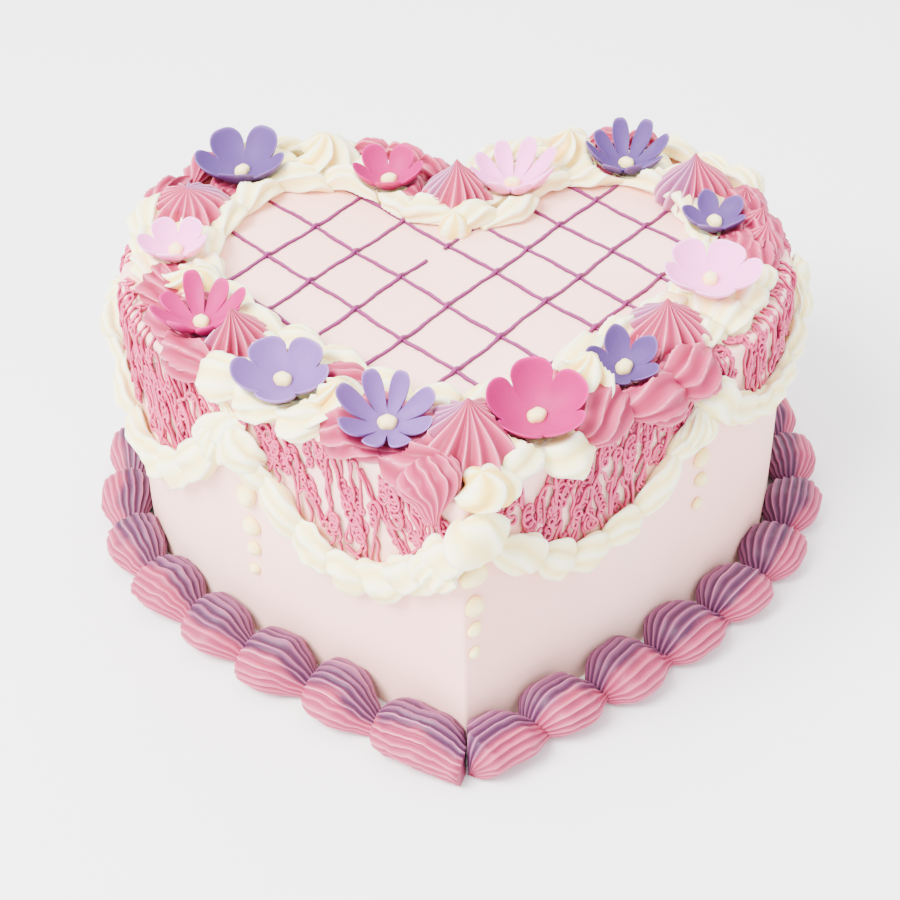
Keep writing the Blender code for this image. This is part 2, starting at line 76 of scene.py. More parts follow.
# Borders, by the part's values or near them
INNER_INSET = 0.0325
INNER_SHELLS = 28
BASE_SHELLS = 28
BASE_OUT = 0.0104
BASE_HALF_WIDTH = 0.0112
BASE_LAST = 1.3
# Shares of the way from the point to the notch, with how wide the shells are there
BASE_WIDTHS = ((0, 1.0), (0.08, 1.10), (0.22, 1.20), (0.38, 1.08), (0.52, 0.88), (0.75, 0.92), (1, 1.0))
# Where a foot shell's head ends and its tail starts along it, and the tail's width, as shares
BASE_FORM = (0.30, 0.50, 0.34)
BASE_FIRST_FORM = (0.12, 0.50, 0.40)
BASE_LAST_FORM = (0.34, 0.62, 0.72)
CLEFT_FILLET = 0.0125
SWAGS_A_SIDE = 4
SWAG_SHELLS = 7
# How far the fan and the ruffle are from the meeting place between them, in quarters of a side
POINT_STEPS = {"right": 0.070, "left": 0.100}
JUNCTION_STEP = 0.06
# How far the swags' line is under the top where they meet, and in the middle of each
SWAG_ENDS = {
    "right": (0.0075, 0.0085, 0.010, 0.011, 0.011),
    "left": (0.0155, 0.010, 0.011, 0.011, 0.011),
}
SWAG_MIDDLES = {"right": (0.0435, 0.0295, 0.041, 0.041), "left": (0.048, 0.0505, 0.043, 0.043)}
STRING_LAYERS = 2
STRING_RADIUS = 0.00060
# Where the swags meet, in quarters of the way from the point to the notch
SWAG_MEETINGS = {"right": (0, 1.09, 2, 3, 4), "left": (0, 1, 2, 3, 4)}
# The dots of a column, each with its width and how far it is below the first
DOTS = ((0.0092, 0), (0.0072, 0.0132), (0.0056, 0.0231), (0.0044, 0.0330))
# By meeting place, 0 at the point: how far under the top the dots start, and how far along they move
DOT_TOPS = {-3: 0.031, -2: 0.031, -1: 0.0392, 0: 0.0290, 1: 0.0212, 2: 0.030, 3: 0.031}
DOT_SHIFTS = {-1: 0.0035, 0: 0.0034, 1: 0.0101}

# Where the shells over the top edge are pink or cream, by the distance from the point of the heart
EDGE_GROUPS = (
    ("cream", 0.019, 0.050),
    ("pink", 0.050, 0.110),
    ("cream", 0.110, 0.172),
    ("pink", 0.172, 0.231),
    ("cream", 0.231, 0.284),
    ("pink", 0.284, 0.312),
    ("cream", 0.312, 0.366),
    ("pink", -0.372, -0.325),
    ("cream", -0.325, -0.272),
    ("pink", -0.272, -0.231),
    ("cream", -0.231, -0.173),
    ("pink", -0.173, -0.109),
    ("cream", -0.109, -0.056),
    ("pink", -0.056, -0.010),
)
EDGE_PITCH = {"pink": 0.0185, "cream": 0.0175}
BACK_ROW_SHELLS = 34
BACK_ROW_INSET = 0.0185
# Where the edge itself is bare and the piping stays on the top
EDGE_BARE = {"right": (0.098, 0.215), "left": (0.137, 0.215)}

# Swirls on the top: name, x, y, base radius, height
KISSES = (
    ("kiss_point", 0.0027, -0.0858, 0.0186, 0.0200),
    ("kiss_right", 0.0690, -0.0290, 0.0152, 0.0180),
    ("kiss_right_back", 0.0895, 0.0650, 0.0140, 0.0205),
    ("kiss_cleft", 0.0015, 0.0655, 0.0132, 0.0200),
    ("kiss_left_back", -0.0975, 0.0585, 0.0166, 0.0140),
    ("kiss_left", -0.0745, -0.0290, 0.0126, 0.0185),
)
CREAMS = (
    ("cream_front_right", 0.0395, -0.0610, 0.0118, 0.0210),
    ("cream_right", 0.0900, 0.0000, 0.0155, 0.0110),
    ("cream_back_right", 0.0445, 0.0920, 0.0134, 0.0195),
    ("cream_back_left", -0.0500, 0.0930, 0.0155, 0.0170),
    ("cream_left", -0.0925, 0.0070, 0.0140, 0.0130),
    ("cream_front_left", -0.0400, -0.0650, 0.0115, 0.0150),
)
NOTCH_BALL = (0.0, 0.0470, 0.0062, 0.0090)
CORNER_ROSETTE = ("cream_point", 0.0075, -0.1060, 0.0100, 0.0085)

# Sugar flowers: name, colour, petals, x, y, height over the top, radius, cup, tilt and turn in degrees
FLOWERS = (
    ("flower_a", "violet", 5, -0.0810, 0.0885, 0.0045, 0.0170, 0.0085, 11, 265),
    ("flower_b", "hot_pink", 5, -0.0245, 0.0775, 0.0055, 0.0130, 0.0075, 11, 270),
    ("flower_c", "pale_pink", 8, 0.0222, 0.0745, 0.0045, 0.0160, 0.0080, 5, 105),
    ("flower_d", "violet", 8, 0.0665, 0.0890, 0.0040, 0.0154, 0.0080, 9, 98),
    ("flower_e", "violet", 5, 0.0940, 0.0410, 0.0055, 0.0120, 0.0060, 8, 105),
    ("flower_f", "pale_pink", 5, 0.0860, -0.0060, 0.0105, 0.0164, 0.0060, 10, 271),
    ("flower_g", "violet", 5, 0.0530, -0.0500, 0.0055, 0.0122, 0.0065, 20, 105),
    ("flower_h", "hot_pink", 5, 0.0237, -0.0745, 0.0050, 0.0158, 0.0085, 21, 97),
    ("flower_i", "lilac", 8, -0.0227, -0.0765, 0.0050, 0.0155, 0.0080, 24, 112),
    ("flower_j", "lilac", 5, -0.0565, -0.0530, 0.0055, 0.0158, 0.0060, 13, 262),
    ("flower_k", "hot_pink", 8, -0.0860, -0.0185, 0.0055, 0.0160, 0.0080, 2, 105),
    ("flower_l", "pale_pink", 5, -0.0990, 0.0245, 0.0080, 0.0122, 0.0065, 10, 265),
)
PETAL_THICKNESS = 0.0016
CENTRE_RADIUS = 0.0029
# Small pointed swirls beside each other near the right edge: x, y
EDGE_SWIRLS = ((0.1075, 0.0560), (0.1095, 0.0410), (0.1085, 0.0275))

# How far out the notches between broad petals start, as a share, and how square the petals are
NOTCHES = {
    "flower_a": (0.58, 2.4), "flower_b": (0.54, 2.2), "flower_e": (0.52, 1.5), "flower_f": (0.64, 2.6),
    "flower_g": (0.52, 1.5), "flower_h": (0.70, 2.8), "flower_j": (0.64, 2.5), "flower_l": (0.56, 2.3),
}

CAMERA_EYE = (-0.00338, -0.5215, 0.4363)
CAMERA_PITCH = 0.6521
CAMERA_ROLL = -0.0204
CAMERA_LENS = 71.2


def smooth(low, high, x):
    t = np.clip((x - low) / (high - low), 0, 1)
    return t * t * (3 - 2 * t)


class Waves:
    """Soft seeded noise of points, about -1 to 1, with features of the given size."""

    def __init__(self, seed, size, count=9):
        rng = np.random.default_rng(seed)
        ways = rng.normal(size=(count, 3))
        ways /= np.linalg.norm(ways, axis=1, keepdims=True)
        self.ways = ways * TAU / (size * rng.uniform(0.7, 1.8, (count, 1)))
        self.phases = rng.uniform(0, TAU, count)

    def __call__(self, points):
        return np.sin(points @ self.ways.T + self.phases).sum(-1) / math.sqrt(len(self.phases))


def bezier(p0, p1, p2, p3, count):
    """Points of a cubic curve, without its last one."""
    t = np.linspace(0, 1, count, endpoint=False)[:, None]
    corners = [np.array(p) for p in (p0, p1, p2, p3)]
    weights = ((1 - t) ** 3, 3 * (1 - t) ** 2 * t, 3 * (1 - t) * t**2, t**3)
    return sum(weight * corner for weight, corner in zip(weights, corners))


class Path:
    """A closed anticlockwise curve in plan, read by the distance along it."""

    def __init__(self, points, count=1500):
        points = np.vstack([points, points[:1]])
        along = self.distances(points)
        even = np.linspace(0, along[-1], count + 1)
        self.points = np.column_stack([np.interp(even, along, points[:, k]) for k in (0, 1)])
        self.along = self.distances(self.points)
        self.length = self.along[-1]

    @staticmethod
    def distances(points):
        steps = np.linalg.norm(np.diff(points, axis=0), axis=1)
        return np.concatenate([[0], np.cumsum(steps)])

    def at(self, s):
        s = np.asarray(s, float) % self.length
        return np.stack([np.interp(s, self.along, self.points[:, k]) for k in (0, 1)], -1)

    def outward(self, s, reach=0.003):
        tangent = self.at(s + reach) - self.at(s - reach)
        tangent /= np.linalg.norm(tangent, axis=-1, keepdims=True)
        return np.stack([tangent[..., 1], -tangent[..., 0]], -1)

    def place(self, s, out, z):
        s, out, z = np.broadcast_arrays(s, out, z)
        plan = self.at(s) + out[..., None] * self.outward(s)
        return np.concatenate([plan, z[..., None]], -1)

    def depth(self, point):
        """How far inside the curve a plan point is."""
        far = np.hypot(*(self.points - point).T)
        nearest = int(np.argmin(far))
        way = self.outward(self.along[nearest], 0.001)
        return far[nearest] * (1 if np.dot(point - self.points[nearest], way) < 0 else -1)

    def offset(self, out):
        """The curve that far outside this one, or inside where out is negative."""
        corner = self.at(0) + (0, out / self.outward(0.002, 0.001)[1])
        kept = [corner] if out > 0 else []
        for s in np.arange(0.0008, self.length - 0.0008, 0.00025):
            point = self.at(s) + out * self.outward(s, 0.0006)
            if np.hypot(*(self.points - point).T).min() > abs(out) * 0.985:
                kept.append(point)
        return Path(np.array(kept))


def heart():
    """The cake's outline, from its point up the right side, with round lobes and a cleft."""
    widest = (CAKE_HALF_WIDTH, WIDEST_Y)
    lobe = (LOBE_X, CAKE_HALF_DEPTH)
    point = (0, -CAKE_HALF_DEPTH)
    cleft = (0, CLEFT_Y)
    leave = (POINT_PULL * math.cos(POINT_ANGLE), -CAKE_HALF_DEPTH + POINT_PULL * math.sin(POINT_ANGLE))
    arrive = (CLEFT_PULL * math.cos(CLEFT_ANGLE), CLEFT_Y + CLEFT_PULL * math.sin(CLEFT_ANGLE))
    below, above = WIDEST_PULLS
    outside, inside = LOBE_PULLS
    side = bezier(point, leave, (CAKE_HALF_WIDTH, WIDEST_Y - below), widest, 60)
    outer = bezier(widest, (CAKE_HALF_WIDTH, WIDEST_Y + above), (LOBE_X + outside, lobe[1]), lobe, 60)
    inner = bezier(lobe, (LOBE_X - inside, lobe[1]), arrive, cleft, 40)
    right = np.vstack([side, outer, inner, [cleft]])
    left = right[-2:0:-1] * (-1, 1)
    return Path(np.vstack([right, left]))


OUTLINE = heart()
HALF_ROUND = OUTLINE.length / 2
PITCH = HALF_ROUND / SWAGS_A_SIDE


class Piece:
    """Bodies in one mesh, with how near a crest each point is, which sets painted shade and painted
    highlight, and how far into its second colour.
    """

    def __init__(self):
        self.points, self.faces, self.crest, self.tone = [], [], [], []
        self.count = 0

    def add(self, points, faces, crest=0.5, tone=0.0):
        points = np.asarray(points, float).reshape(-1, 3)
        self.points.append(points)
        self.faces += [[i + self.count for i in face] for face in faces]
        self.crest.append(np.broadcast_to(crest, (len(points),)).astype(float))
        self.tone.append(np.broadcast_to(tone, (len(points),)).astype(float))
        self.count += len(points)

    def grid(self, points, crest=0.5, tone=0.0, closed=False):
        """Joins rings of points in order. A fan closes each end, unless the rings close on themselves."""
        rows, cols = points.shape[:2]
        crest = np.broadcast_to(crest, (rows, cols))
        tone = np.broadcast_to(tone, (rows, cols))
        faces = []
        for i in range(rows if closed else rows - 1):
            a, b = i * cols, (i + 1) % rows * cols
            faces += [(a + j, a + (j + 1) % cols, b + (j + 1) % cols, b + j) for j in range(cols)]
        flat = [points.reshape(-1, 3)]
        crests, tones = [crest.reshape(-1)], [tone.reshape(-1)]
        if not closed:
            for row, turn in ((0, 1), (rows - 1, -1)):
                middle = rows * cols + (0 if row == 0 else 1)
                flat.append(points[row].mean(axis=0)[None])
                crests.append(crest[row].mean()[None])
                tones.append(tone[row].mean()[None])
                ring = [row * cols + j for j in range(cols)]
                for j in range(cols):
                    pair = (ring[(j + 1) % cols], ring[j]) if turn > 0 else (ring[j], ring[(j + 1) % cols])
                    faces.append((middle, *pair))
        self.add(np.concatenate(flat), faces, np.concatenate(crests), np.concatenate(tones))

    def build(self, name, material, slot, *nodes):
        mesh = bpy.data.meshes.new(name)
        points = np.concatenate(self.points) - (0, CENTRE_Y, 0)
        mesh.from_pydata(points.tolist(), [], self.faces)
        mesh.update()
        for key, values in (("crest", self.crest), ("tone", self.tone)):
            layer = mesh.attributes.new(key, "FLOAT", "POINT")
            layer.data.foreach_set("value", np.concatenate(values))
        mesh.shade_smooth()
        mesh.materials.append(material)
        obj = bpy.data.objects.new(name, mesh)
        bpy.context.scene.collection.objects.link(obj)
        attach(obj, "root")
        if nodes:
            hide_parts(*nodes)
        return obj


def shell(
    length, half_width, height, ridges, depth, power, seed, *,
    head, hold, tail, per, rows, curl=0.3, loose=1.0, flat_foot=0.0, ruffle=0.0,
):
    """A piped shell along x, head first: its points, how near a crest each is, and each point's angle."""
    rng = np.random.default_rng(seed)
    u = np.linspace(0, 1, rows)[:, None] ** 1.25
    v = np.linspace(0, TAU, ridges * per, endpoint=False)[None, :]
    rise = np.sqrt(np.clip(1 - (1 - np.clip(u / head, 0, 1)) ** 2, 0, 1))
    fall = 1 - (1 - tail) * smooth(hold, 1.0, u)
    size = np.maximum(rise * fall, 0.03)
    drift = loose * 0.22 * np.sin(v * 2 + rng.uniform(0, TAU))
    drift = drift + loose * 0.12 * np.sin(v * 3 + rng.uniform(0, TAU))
    fold = v + ruffle * np.sin(u * 7 + rng.uniform(0, TAU))
    ridge = np.abs(np.sin((ridges * fold + ridges * 0.25 * drift) / 2 + rng.uniform(0, TAU))) ** power
    uneven = 1 + loose * 0.35 * np.sin(v * 2 + rng.uniform(0, TAU))
    uneven = uneven + loose * 0.25 * np.sin(v * 5 + rng.uniform(0, TAU))
    deep = depth * uneven
    deep = deep * (0.60 + 0.40 * np.sin(math.pi * np.clip(u * 1.15, 0, 1)))
    deep = deep * (1 - flat_foot * smooth(0.1, 0.9, np.cos(v + 0.5)))
    reach = size * (1 - deep * ridge)
    angle = v + curl * (u - 0.5) + 0 * reach
    x = length * (u + 0.04 * (1 - u) * np.cos(angle)) + 0 * reach
    y = half_width * reach * np.cos(angle) + loose * half_width * 0.10 * np.sin(u * 5 + rng.uniform(0, TAU))
    z = height / 2 * (size**0.8 + reach * np.sin(angle))
    # How near a crest each point is; the icing paints shade in the hollows and a highlight on the crests from
    # it
    return np.stack([x, y, z], -1), 1 - ridge + 0 * reach, angle


def tube(points, radius, sides, up=None):
    """Rings round a line of points. The section's first axis keeps as near to up as it can."""
    points = np.asarray(points, float)
    ahead = np.gradient(points, axis=0)
    ahead /= np.linalg.norm(ahead, axis=1, keepdims=True) + 1e-12
    up = np.broadcast_to((0, 0, 1) if up is None else up, points.shape)
    across = np.cross(ahead, up)
    across /= np.linalg.norm(across, axis=1, keepdims=True) + 1e-12
    top = np.cross(across, ahead)
    angles = np.linspace(0, TAU, sides, endpoint=False)
    radius = np.broadcast_to(radius, (len(points),))[:, None, None]
    ring = np.cos(angles)[None, :, None] * across[:, None] + np.sin(angles)[None, :, None] * top[:, None]
    return points[:, None] + radius * ring


# Materials


def icing(
    name, valley, main, crest, second=None, rough=0.5, glow=0.25, mottle=0.05, grain=0.10, grain_size=900
):
    """Icing coloured by its crest value, from painted shade in the hollows to a painted highlight on the
    crests (random tone on the cake's smooth icing), with a second set of colours where tone is 1.
    """
    material = bpy.data.materials.new(name)
    material.use_nodes = True
    tree = material.node_tree
    nodes = tree.nodes
    link = tree.links.new
    shader = nodes["Principled BSDF"]
    where = nodes.new("ShaderNodeTexCoord")

    def attribute(key):
        node = nodes.new("ShaderNodeAttribute")
        node.attribute_name = key
        return node.outputs["Fac"]

    def noise(scale, detail=3):
        node = nodes.new("ShaderNodeTexNoise")
        node.inputs["Scale"].default_value = scale
        node.inputs["Detail"].default_value = detail
        node.inputs["Roughness"].default_value = 0.55
        link(where.outputs["Object"], node.inputs["Vector"])
        return node.outputs["Fac"]

    def ramp(source, colours):
        node = nodes.new("ShaderNodeValToRGB")
        node.color_ramp.interpolation = "EASE"
        places = (0.0, 0.55, 0.97)
        while len(node.color_ramp.elements) < 3:
            node.color_ramp.elements.new(0.5)
        for element, place, colour in zip(node.color_ramp.elements, places, colours):
            element.position = place
            element.color = (*colour, 1)
        link(source, node.inputs["Fac"])
        return node.outputs["Color"]

    def mix(kind, factor, a, b):
        node = nodes.new("ShaderNodeMix")
        node.data_type = "RGBA"
        node.blend_type = kind
        for socket, value in ((node.inputs["Factor"], factor), (node.inputs["A"], a), (node.inputs["B"], b)):
            if isinstance(value, bpy.types.NodeSocket):
                link(value, socket)
            else:
                socket.default_value = value
        return node.outputs["Result"]

    def spread(source, low, high, a, b):
        node = nodes.new("ShaderNodeMapRange")
        for key, value in (("From Min", low), ("From Max", high), ("To Min", a), ("To Max", b)):
            node.inputs[key].default_value = value
        link(source, node.inputs["Value"])
        return node.outputs["Result"]

    # Painted shade in the hollows and a painted highlight on the crests, by the crest value
    colour = ramp(attribute("crest"), (valley, main, crest))
    if second:
        colour = mix("MIX", attribute("tone"), colour, ramp(attribute("crest"), second))
    cloud = spread(noise(55), 0.3, 0.7, 1 - mottle, 1 + mottle)
    colour = mix("MULTIPLY", 1.0, colour, cloud)
    link(colour, shader.inputs["Base Color"])
    link(spread(noise(160), 0.3, 0.7, rough - 0.08, rough + 0.10), shader.inputs["Roughness"])
    bump = nodes.new("ShaderNodeBump")
    bump.inputs["Strength"].default_value = grain
    bump.inputs["Distance"].default_value = 0.0004
    link(noise(grain_size, 4), bump.inputs["Height"])
    link(bump.outputs["Normal"], shader.inputs["Normal"])
    shader.inputs["Subsurface Weight"].default_value = glow
    shader.inputs["Subsurface Radius"].default_value = (1.0, 0.55, 0.40)
    shader.inputs["Subsurface Scale"].default_value = 0.0022
    shader.inputs["Specular IOR Level"].default_value = 0.25
    return material


def srgb(r, g, b):
    """A colour given in 0 to 255, as the shader's linear values."""
    return tuple(((c / 255 + 0.055) / 1.055) ** 2.4 if c > 10 else c / 3295 for c in (r, g, b))


PALE = icing(
    "pale_pink_icing", srgb(251, 192, 180), srgb(253, 199, 187), srgb(254, 208, 196),
    mottle=0.015, rough=0.52, glow=0.15, grain=0.12, grain_size=420,
)
# From painted shade under the lines to a painted highlight along their tops
MAUVE = icing(
    "mauve_lines", srgb(64, 8, 50), srgb(90, 16, 70), srgb(124, 40, 100),
    rough=0.42, glow=0.05, mottle=0.10,
)
# From painted shade on the side against the icing to a painted highlight on each string's outer side
STRING = icing(
    "pink_strings", srgb(124, 8, 54), srgb(168, 32, 84), srgb(206, 80, 120),
    rough=0.40, glow=0.12, mottle=0.08,
)
# Yellow is painted shade at the back and foot of each drop and dot, and the palest cream a painted highlight
# on their fronts and tops
DOT = icing(
    "cream_dots", srgb(250, 206, 112), srgb(254, 226, 150), srgb(255, 240, 188),
    rough=0.38, glow=0.3, mottle=0.04,
)
# Yellow in the creases is painted shade, and the palest cream on the crests a painted highlight
CREAM = icing(
    "cream_piping", srgb(254, 214, 112), srgb(255, 246, 192), srgb(255, 252, 222),
    rough=0.45, glow=0.3, mottle=0.03,
)
# Pink, then the real mauve side of the two-tone swirls, each from painted shade in the hollows to a painted
# highlight on the crests
PINK = icing(
    "pink_piping", srgb(150, 32, 72), srgb(182, 62, 98), srgb(218, 126, 150),
    rough=0.48, glow=0.15, mottle=0.05,
    second=(srgb(118, 60, 108), srgb(152, 92, 138), srgb(200, 150, 182)),
)
# Pink, then the real mauve stripe of the two-tone foot shells, each from painted shade in the hollows to a
# painted highlight on the crests
BASE = icing(
    "two_tone_piping", srgb(146, 48, 82), srgb(179, 79, 109), srgb(214, 130, 153),
    rough=0.48, glow=0.12, mottle=0.05,
    second=(srgb(66, 30, 60), srgb(118, 64, 98), srgb(178, 116, 146)),
)
# Each kind of sugar: its colours from painted shade in the hollows to a painted highlight on the crests,
# roughness, glow and mottle
SUGARS = {
    "violet": ((62, 40, 100), (84, 58, 120), (112, 84, 148), 0.62, 0.08, 0.04),
    "hot_pink": ((142, 0, 84), (172, 0, 102), (196, 4, 122), 0.62, 0.05, 0.05),
    "pale_pink": ((244, 128, 204), (252, 150, 222), (254, 178, 232), 0.60, 0.15, 0.03),
    "lilac": ((92, 60, 128), (116, 80, 150), (138, 106, 172), 0.62, 0.08, 0.04),
}
SUGAR = {
    name: icing(
        "sugar_" + name, srgb(*valley), srgb(*main), srgb(*crest),
        rough=rough, glow=glow, mottle=mottle, grain=0.2,
    )
    for name, (valley, main, crest, rough, glow, mottle) in SUGARS.items()
}


# Pieces


def make_icing_body():
    """The cake's smoothed icing: the heart's prism, with a rounded edge and slight waves from the scraper."""
    waves = Waves(3, 0.045)
    levels = [(0, 0), (0, 0.001)]
    levels += [(0, z) for z in np.linspace(0.006, CAKE_HEIGHT - 0.004, 22)]
    for angle in np.linspace(0, math.pi / 2, 6):
        levels.append((EDGE_ROUND * (math.cos(angle) - 1), CAKE_HEIGHT + EDGE_ROUND * (math.sin(angle) - 1)))
    s = np.linspace(0, OUTLINE.length, 520, endpoint=False)
    rings = []
    for out, z in levels:
        ring = OUTLINE.place(s, out, z)
        swell = 0.00035 * waves(ring) * smooth(0, 0.01, z)
        ring[:, :2] += (swell * smooth(CAKE_HEIGHT, CAKE_HEIGHT - 0.02, z))[..., None] * OUTLINE.outward(s)
        rings.append(ring)
    rim = rings[-1]
    middle = np.array([0, 0.01, CAKE_HEIGHT])
    for share in (0.93, 0.8, 0.6, 0.4, 0.2, 0.08):
        rings.append(rim * share + middle * (1 - share))
    points = np.stack(rings)
    piece = Piece()
    piece.grid(points, crest=0.5 + 0.25 * Waves(8, 0.08)(points))
    return piece.build("cake_icing", PALE, "pale_pink_icing", "cake")


def lattice_runs():
    """Plan points of each lattice line, millimetre by millimetre, inside the field."""
    for family, (slope, meets) in enumerate(LATTICE):
        along = np.array([1, slope]) / math.hypot(1, slope)
        across = np.array([-along[1], along[0]])
        for number, meet in enumerate(meets):
            phase = 2.1 * number + 1.3 * family
            rng = np.random.default_rng(100 * family + number)
            phases = rng.uniform(0, TAU, 3)
            t = np.arange(-0.14, 0.14, 0.0010)
            wave = LATTICE_WAVE * np.sin(t * 110 + phase) + 0.00016 * np.sin(t * 420 + phases[0])
            wave += 0.00006 * np.sin(t * 1300 + phases[1])
            plan = np.array([0, meet]) + t[:, None] * along + wave[:, None] * across
            inside = np.array([OUTLINE.depth(p) > FIELD_INSET for p in plan])
            for run in np.split(np.arange(len(t)), np.flatnonzero(np.diff(inside.astype(int))) + 1):
                if inside[run[0]] and len(run) > 6:
                    yield family, number, plan[run], t[run], phases


def make_lattice():
    """Thin piped lines; the second family lies over the first and swells where they cross."""
    lines = list(lattice_runs())
    first = [plan for family, _, plan, _, _ in lines if family == 0]
    piece = Piece()
    for family, number, plan, t, phases in lines:
        keep = np.ones(len(plan), bool)
        if (family, number) == LATTICE_BROKEN:
            keep = (plan[:, 1] < LATTICE_GAP[0]) | (plan[:, 1] > LATTICE_GAP[1])
        lift = np.zeros(len(plan))
        if family == 1:
            for other in first:
                gap = np.linalg.norm(plan[:, None] - other[None], axis=-1).min(1)
                lift = np.maximum(lift, np.exp(-((gap / 0.0016) ** 2)))
        swell = 1 + 0.10 * np.sin(t * 250 + phases[2]) + 0.05 * np.sin(t * 1300 + phases[0]) + 0.20 * lift
        radius = LATTICE_RADIUS * swell
        z = CAKE_HEIGHT + 0.45 * LATTICE_RADIUS + 0.0009 * lift
        points = np.column_stack([plan, z])
        for run in np.split(np.arange(len(plan)), np.flatnonzero(np.diff(keep.astype(int))) + 1):
            if keep[run[0]] and len(run) > 3:
                rings = tube(points[run], radius[run], 8)
                # Painted highlight along the top of each line and painted shade under it
                lit = 0.5 + 0.5 * np.sin(np.linspace(0, TAU, 8, endpoint=False))
                piece.grid(rings, crest=np.tile(lit, (len(run), 1)))
    return piece.build("lattice", MAUVE, "pale_pink_icing", "cake")


def swag_z(side, t):
    """The height of the swags' middle line, t quarters of the way round from the point on that side."""
    t = np.interp(t, SWAG_MEETINGS[side], range(SWAGS_A_SIDE + 1))
    swag = np.clip(t.astype(int), 0, SWAGS_A_SIDE - 1)
    ends, middles = np.array(SWAG_ENDS[side]), np.array(SWAG_MIDDLES[side])
    first, last = ends[swag], ends[swag + 1]
    sag = middles[swag] - (first + last) / 2
    return CAKE_HEIGHT - (first + (last - first) * (t - swag) + sag * np.abs(np.sin(math.pi * t)))


def swag_slope(side, t):
    return (swag_z(side, t + 0.01) - swag_z(side, t - 0.01)) / (0.02 * PITCH)


def string_path(side, swag, layer):
    """A long scribble of hairpins and loops in a swag's field, as distances along the outline and heights."""
    rng = np.random.default_rng(1000 + 100 * swag + 10 * layer + (5 if side == "right" else 0))
    lean = -0.12 if side == "right" else -0.28
    first, last = SWAG_MEETINGS[side][swag : swag + 2]
    t = first + 0.07 + 0.03 * layer
    s_out, z_out = [], []
    down = True
    while t < last - 0.07:
        low = float(swag_z(side, t)) + rng.uniform(0.002, 0.008)
        bare = edge_bare(t * PITCH * (1 if side == "right" else -1)) > 0.5
        over = rng.uniform(0.001, 0.0085) if side == "right" else rng.uniform(-0.0015, 0.0030)
        high = CAKE_HEIGHT + (over if bare else rng.uniform(-0.008, -0.003))
        if high - low < 0.006:
            t += 0.02
            continue
        part = rng.uniform(0.25, 1.0)
        if rng.random() < 0.5:
            low = high - max(0.006, (high - low) * part)
        else:
            high = low + max(0.006, (high - low) * part)
        run = np.arange(0, high - low, 0.00035)
        z = high - run
        slant = lean + (0.15 if down else -0.15) + rng.normal(0, 0.10)
        s = t * PITCH + slant * run + 0.0005 * np.sin(run * 650 + rng.uniform(0, TAU))
        if rng.random() < 0.88:
            loops, size, step = rng.integers(2, 7), rng.uniform(0.0012, 0.0021), rng.uniform(0.0017, 0.0027)
            start = rng.uniform(0, 0.7) * run[-1]
            span = loops * step
            theta = np.clip((run - start) / span, 0, 1) * loops * TAU
            fine = np.linspace(0, run[-1], 6 * len(run))
            theta = np.interp(fine, run, theta)
            s = np.interp(fine, run, s) + size * np.sin(theta) * (1 if rng.random() < 0.5 else -1)
            z = high - fine + size * 1.25 * (1 - np.cos(theta))
        if not down:
            s, z = s[::-1], z[::-1]
        width = rng.uniform(0.0022, 0.0042) * (1 + 0.6 * layer)
        turn = np.linspace(0, math.pi, 8)[1:-1]
        s_out += [s, s[-1] + width * (1 - np.cos(turn)) / 2]
        z_out += [z, z[-1] + (-1 if down else 1) * 0.7 * width * np.sin(turn)]
        t = (s[-1] - slant * (high - z[-1]) + width) / PITCH
        down = not down
    if not s_out:
        return None
    s, z = np.concatenate(s_out), np.concatenate(z_out)
    length = np.concatenate([[0], np.cumsum(np.hypot(np.diff(s), np.diff(z)))])
    even = np.arange(0, length[-1], 0.00042)
    s, z = np.interp(even, length, s), np.interp(even, length, z)
    kernel = np.array([1, 2, 1]) / 4
    s[1:-1], z[1:-1] = np.convolve(s, kernel, "valid"), np.convolve(z, kernel, "valid")
    return s[::2], z[::2]


def make_strings(side, way):
    """Scribbled strings between a swag and the top edge, in layers that cross."""
    piece = Piece()
    for swag in range(SWAGS_A_SIDE):
        for layer in range(STRING_LAYERS):
            route = string_path(side, swag, layer)
            if route is None:
                continue
            s, z = route
            steps = np.arange(len(s))
            out = 0.0004 + 0.0009 * layer + 0.0006 * np.sin(steps * 0.16) * np.sin(steps * 0.10 + layer)
            # Above the edge a string turns over it and runs inward.
            over = np.maximum(z - CAKE_HEIGHT + 0.0012, 0)
            rounded = 0.0006 * np.exp(-(((z - CAKE_HEIGHT + 0.0006) / 0.0016) ** 2))
            turned = smooth(0, 0.002, over)
            high = z - over + turned * (0.0012 + out) - rounded
            points = OUTLINE.place(way * s, out * (1 - turned) - over - rounded, high)
            normal = np.column_stack([OUTLINE.outward(way * s) * (1 - turned)[:, None], turned])
            rings = tube(points, STRING_RADIUS * (1 + 0.10 * np.sin(steps * 0.7)), 5, up=normal)
            # Painted highlight on each string's outer side and painted shade on the side against the icing
            lit = 0.5 + 0.5 * np.sin(np.linspace(0, TAU, 5, endpoint=False))
            piece.grid(rings, crest=np.tile(lit, (len(s), 1)))
    return piece.build(f"strings_{side}", STRING, "pale_pink_icing", "cake")


